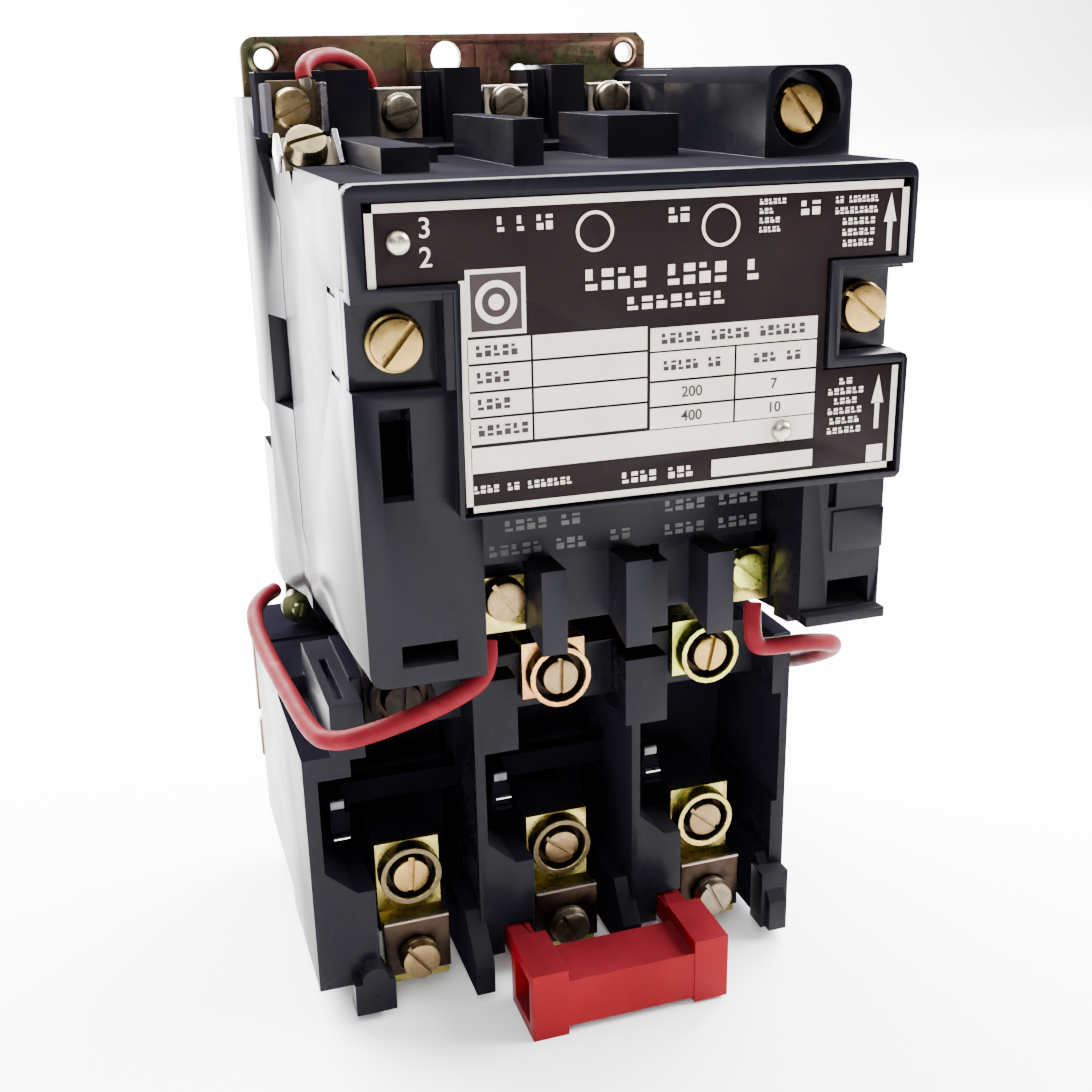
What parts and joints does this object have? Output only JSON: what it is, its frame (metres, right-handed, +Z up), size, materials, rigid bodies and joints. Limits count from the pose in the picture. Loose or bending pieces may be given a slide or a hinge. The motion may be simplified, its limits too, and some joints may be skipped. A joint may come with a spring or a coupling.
{
  "type": "motor starter",
  "caption": "Black open motor starter on a gold-coloured steel plate: contactor with nameplate above, three-bay overload relay with red reset bar below, red jumper wires.",
  "frame": {"origin": "middle of the mounting plate's back face", "axes": "+Z up, +Y into the panel behind the plate, front faces -Y, +X to the viewer's right"},
  "size_m": [0.1137, 0.1028, 0.1837],
  "materials": {
    "moulding_black": "moulded thermoset, satin with soft gloss",
    "nameplate_black": "printed sheet, satin black with pale silver fields",
    "chromate_steel": "zinc plated, yellow chromate",
    "brass": "bright, handled",
    "copper": "bright copper",
    "bright_steel": "plated",
    "laminated_iron": "ground laminations",
    "reset_red": "satin moulded",
    "wire_red": "insulation, lightly scuffed"
  },
  "bodies": {
    "starter_frame": {"aux_screw_lower": "brass", "aux_screw_upper": "brass", "aux_terminal_lower": "brass", "aux_terminal_upper": "brass", "coil": "moulding_black", "coil_screw_left": "brass", "coil_screw_right": "brass", "coil_terminal_left": "brass", "coil_terminal_right": "brass", "contactor_base": "moulding_black", "corner_screw": "brass", "cover_screw_left": "brass", "cover_screw_right": "brass", "front_cover": "moulding_black", "heater_screw_lower_1": "brass", "heater_screw_lower_2": "brass", "heater_screw_lower_3": "brass", "heater_screw_upper_1": "brass", "heater_screw_upper_2": "brass", "heater_screw_upper_3": "brass", "line_screw_1": "bright_steel", "line_screw_2": "bright_steel", "line_screw_3": "bright_steel", "line_terminal_1": "chromate_steel", "line_terminal_2": "chromate_steel", "line_terminal_3": "chromate_steel", "load_screw_1": "brass", "load_screw_2": "brass", "load_screw_3": "brass", "load_strap_1": "copper", "load_strap_2": "copper", "load_strap_3": "brass", "load_terminal_1": "brass", "load_terminal_2": "brass", "load_terminal_3": "brass", "magnet_core": "laminated_iron", "magnet_housing": "moulding_black", "mounting_plate": "chromate_steel", "nameplate": "nameplate_black", "nameplate_rivet_1": "bright_steel", "nameplate_rivet_2": "bright_steel", "overload_base": "moulding_black", "relay_mount_screw": "chromate_steel", "return_spring": "bright_steel", "wire_clamp_1": "brass", "wire_clamp_2": "brass", "wire_clamp_3": "brass", "wire_left": "wire_red", "wire_right": "wire_red", "wire_top": "wire_red"},
    "contact_carrier_group": {"contact_carrier": "moulding_black", "armature": "laminated_iron", "contact_bridge_1": "copper", "contact_bridge_2": "copper", "contact_bridge_3": "copper", "contact_spring_1": "bright_steel", "contact_spring_2": "bright_steel", "contact_spring_3": "bright_steel"},
    "reset_bar_group": {"reset_bar": "reset_red"},
    "trip_slide_group": {"trip_slide": "moulding_black"}
  },
  "joints": [
    {"name": "contactor_pull_in", "type": "slide", "parent": "starter_frame", "child": "contact_carrier_group", "axis": [0, -1, 0], "range_m": [0, 0.004], "stiffness_N_per_m": 500, "springref_m": -0.003, "deforming": ["return_spring"]},
    {"name": "reset_push", "type": "slide", "parent": "starter_frame", "child": "reset_bar_group", "axis": [0, 1, 0], "range_m": [0, 0.004], "stiffness_N_per_m": 600, "springref_m": -0.002},
    {"name": "trip_slide_lift", "type": "slide", "parent": "starter_frame", "child": "trip_slide_group", "axis": [0, 0, 1], "range_m": [0, 0.002]}
  ],
  "couplings": [
    {"joint": "trip_slide_lift", "follows": "reset_push", "ratio": 0.5}
  ]
}
